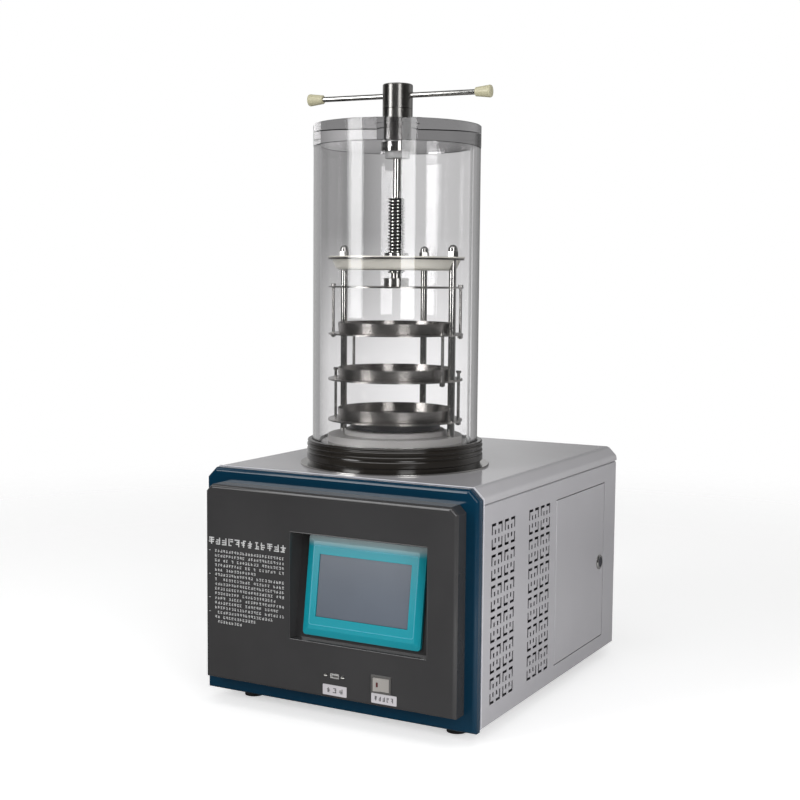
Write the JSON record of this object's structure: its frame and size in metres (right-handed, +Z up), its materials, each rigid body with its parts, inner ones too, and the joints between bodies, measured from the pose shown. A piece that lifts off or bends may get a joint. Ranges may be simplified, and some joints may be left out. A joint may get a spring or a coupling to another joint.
{
  "type": "freeze dryer",
  "caption": "Benchtop freeze dryer: steel casing with a sloped touch screen, clear chamber over stacked shelves with trays, and a hand-turned screw that presses the shelves down.",
  "frame": {"origin": "centre of the bounding box's footprint, on the surface the feet stand on", "axes": "+Z up, -Y towards the front with the touch screen, +X to the right seen from the front"},
  "size_m": [0.452, 0.6223, 0.9225],
  "materials": {
    "case_paint": "satin",
    "frame_blue": "gloss",
    "panel_black": "gloss",
    "bezel_teal": "satin",
    "screen": "gloss",
    "foot_rubber": "matte",
    "bright_steel": "satin",
    "polished_steel": "polished",
    "switch_black": "satin",
    "rocker_grey": "satin",
    "copper": "satin",
    "foam": "matte",
    "dark_paint": "satin",
    "fan_plastic": "matte",
    "box_paint": "satin",
    "acrylic": "clear",
    "collar_black": "gloss",
    "grey_plastic": "satin",
    "cream_plastic": "satin",
    "cream_metal": "satin",
    "shelf_steel": "satin",
    "grey_plate": "matte",
    "support_black": "satin"
  },
  "bodies": {
    "cabinet": {"base_pan": "case_paint", "side_panel_left": "case_paint", "side_panel_right": "case_paint", "rear_panel": "case_paint", "top_cover": "case_paint", "front_frame": "frame_blue", "front_panel": "panel_black", "feet": "foot_rubber", "hmi_housing": "bezel_teal", "hmi_screen": "screen", "usb_socket": "polished_steel", "usb_screws": "polished_steel", "switch_body": "switch_black", "hinge_pins": "bright_steel", "trap_pot": "bright_steel", "trap_coil": "copper", "trap_insulation": "foam", "compressor": "dark_paint", "condenser": "dark_paint", "fan_housing": "fan_plastic", "control_box": "box_paint", "vacuum_port": "bright_steel", "power_inlet": "fan_plastic", "drain_nozzle": "bright_steel", "base_flange": "bright_steel", "seal_collar": "collar_black", "seal_ring": "foot_rubber", "chamber_tube": "acrylic", "chamber_lid": "acrylic", "gland_body": "polished_steel", "gland_nut": "polished_steel", "gland_bush": "grey_plastic", "screw_nut": "polished_steel", "rack_base": "grey_plate", "shelf_support": "support_black", "rack_posts": "polished_steel", "top_plate": "cream_metal", "acorn_nuts": "polished_steel", "lower_shelf": "shelf_steel", "lower_tray": "shelf_steel", "lower_hangers": "bright_steel"},
    "handle": {"handle_hub": "polished_steel", "tee_bar": "polished_steel", "bar_grips": "cream_plastic", "drive_shaft": "polished_steel"},
    "press": {"press_foot": "bright_steel", "press_plate": "shelf_steel", "upper_hangers": "bright_steel"},
    "screw": {"lead_screw": "polished_steel"},
    "upper_rack": {"upper_shelf": "shelf_steel", "upper_tray": "shelf_steel", "middle_hangers": "bright_steel"},
    "middle_rack": {"middle_shelf": "shelf_steel", "middle_tray": "shelf_steel"},
    "door": {"service_door": "case_paint", "lock_barrel": "polished_steel"},
    "lock": {"lock_plug": "switch_black", "lock_cam": "bright_steel"},
    "rocker": {"switch_rocker": "rocker_grey"},
    "fan": {"fan_blades": "fan_plastic"}
  },
  "joints": [
    {"name": "handle_turn", "type": "hinge", "parent": "cabinet", "child": "handle", "pos_m": [0, -0.10385, 0.9057], "axis": [0, 0, 1], "range_deg": [0, 5040]},
    {"name": "press_travel", "type": "slide", "parent": "cabinet", "child": "press", "axis": [0, 0, -1], "range_m": [0, 0.0702]},
    {"name": "screw_spin", "type": "hinge", "parent": "press", "child": "screw", "pos_m": [0, -0.10385, 0.64], "axis": [0, 0, 1], "range_deg": [0, 5050]},
    {"name": "upper_shelf_travel", "type": "slide", "parent": "cabinet", "child": "upper_rack", "axis": [0, 0, -1], "range_m": [0, 0.0468]},
    {"name": "middle_shelf_travel", "type": "slide", "parent": "cabinet", "child": "middle_rack", "axis": [0, 0, -1], "range_m": [0, 0.0235]},
    {"name": "door_swing", "type": "hinge", "parent": "cabinet", "child": "door", "pos_m": [0.219, 0.00615, 0.172], "axis": [0, 0, -1], "range_deg": [0, 90]},
    {"name": "lock_turn", "type": "hinge", "parent": "door", "child": "lock", "pos_m": [0.224, 0.19215, 0.1707], "axis": [1, 0, 0], "range_deg": [0, 90]},
    {"name": "power_rocker", "type": "hinge", "parent": "cabinet", "child": "rocker", "pos_m": [0.0923, -0.30235, 0.0745], "axis": [0, 0, -1], "range_deg": [0, 14]},
    {"name": "fan_spin", "type": "hinge", "parent": "cabinet", "child": "fan", "pos_m": [0.148, -0.12785, 0.167], "axis": [1, 0, 0], "continuous": true}
  ],
  "couplings": [
    {"joint": "press_travel", "follows": "handle_turn", "m_per_rad": 0.00079577},
    {"joint": "screw_spin", "follows": "handle_turn", "ratio": 1},
    {"joint": "upper_shelf_travel", "follows": "handle_turn", "m_per_rad": 0.00053052},
    {"joint": "middle_shelf_travel", "follows": "handle_turn", "m_per_rad": 0.00026526}
  ]
}
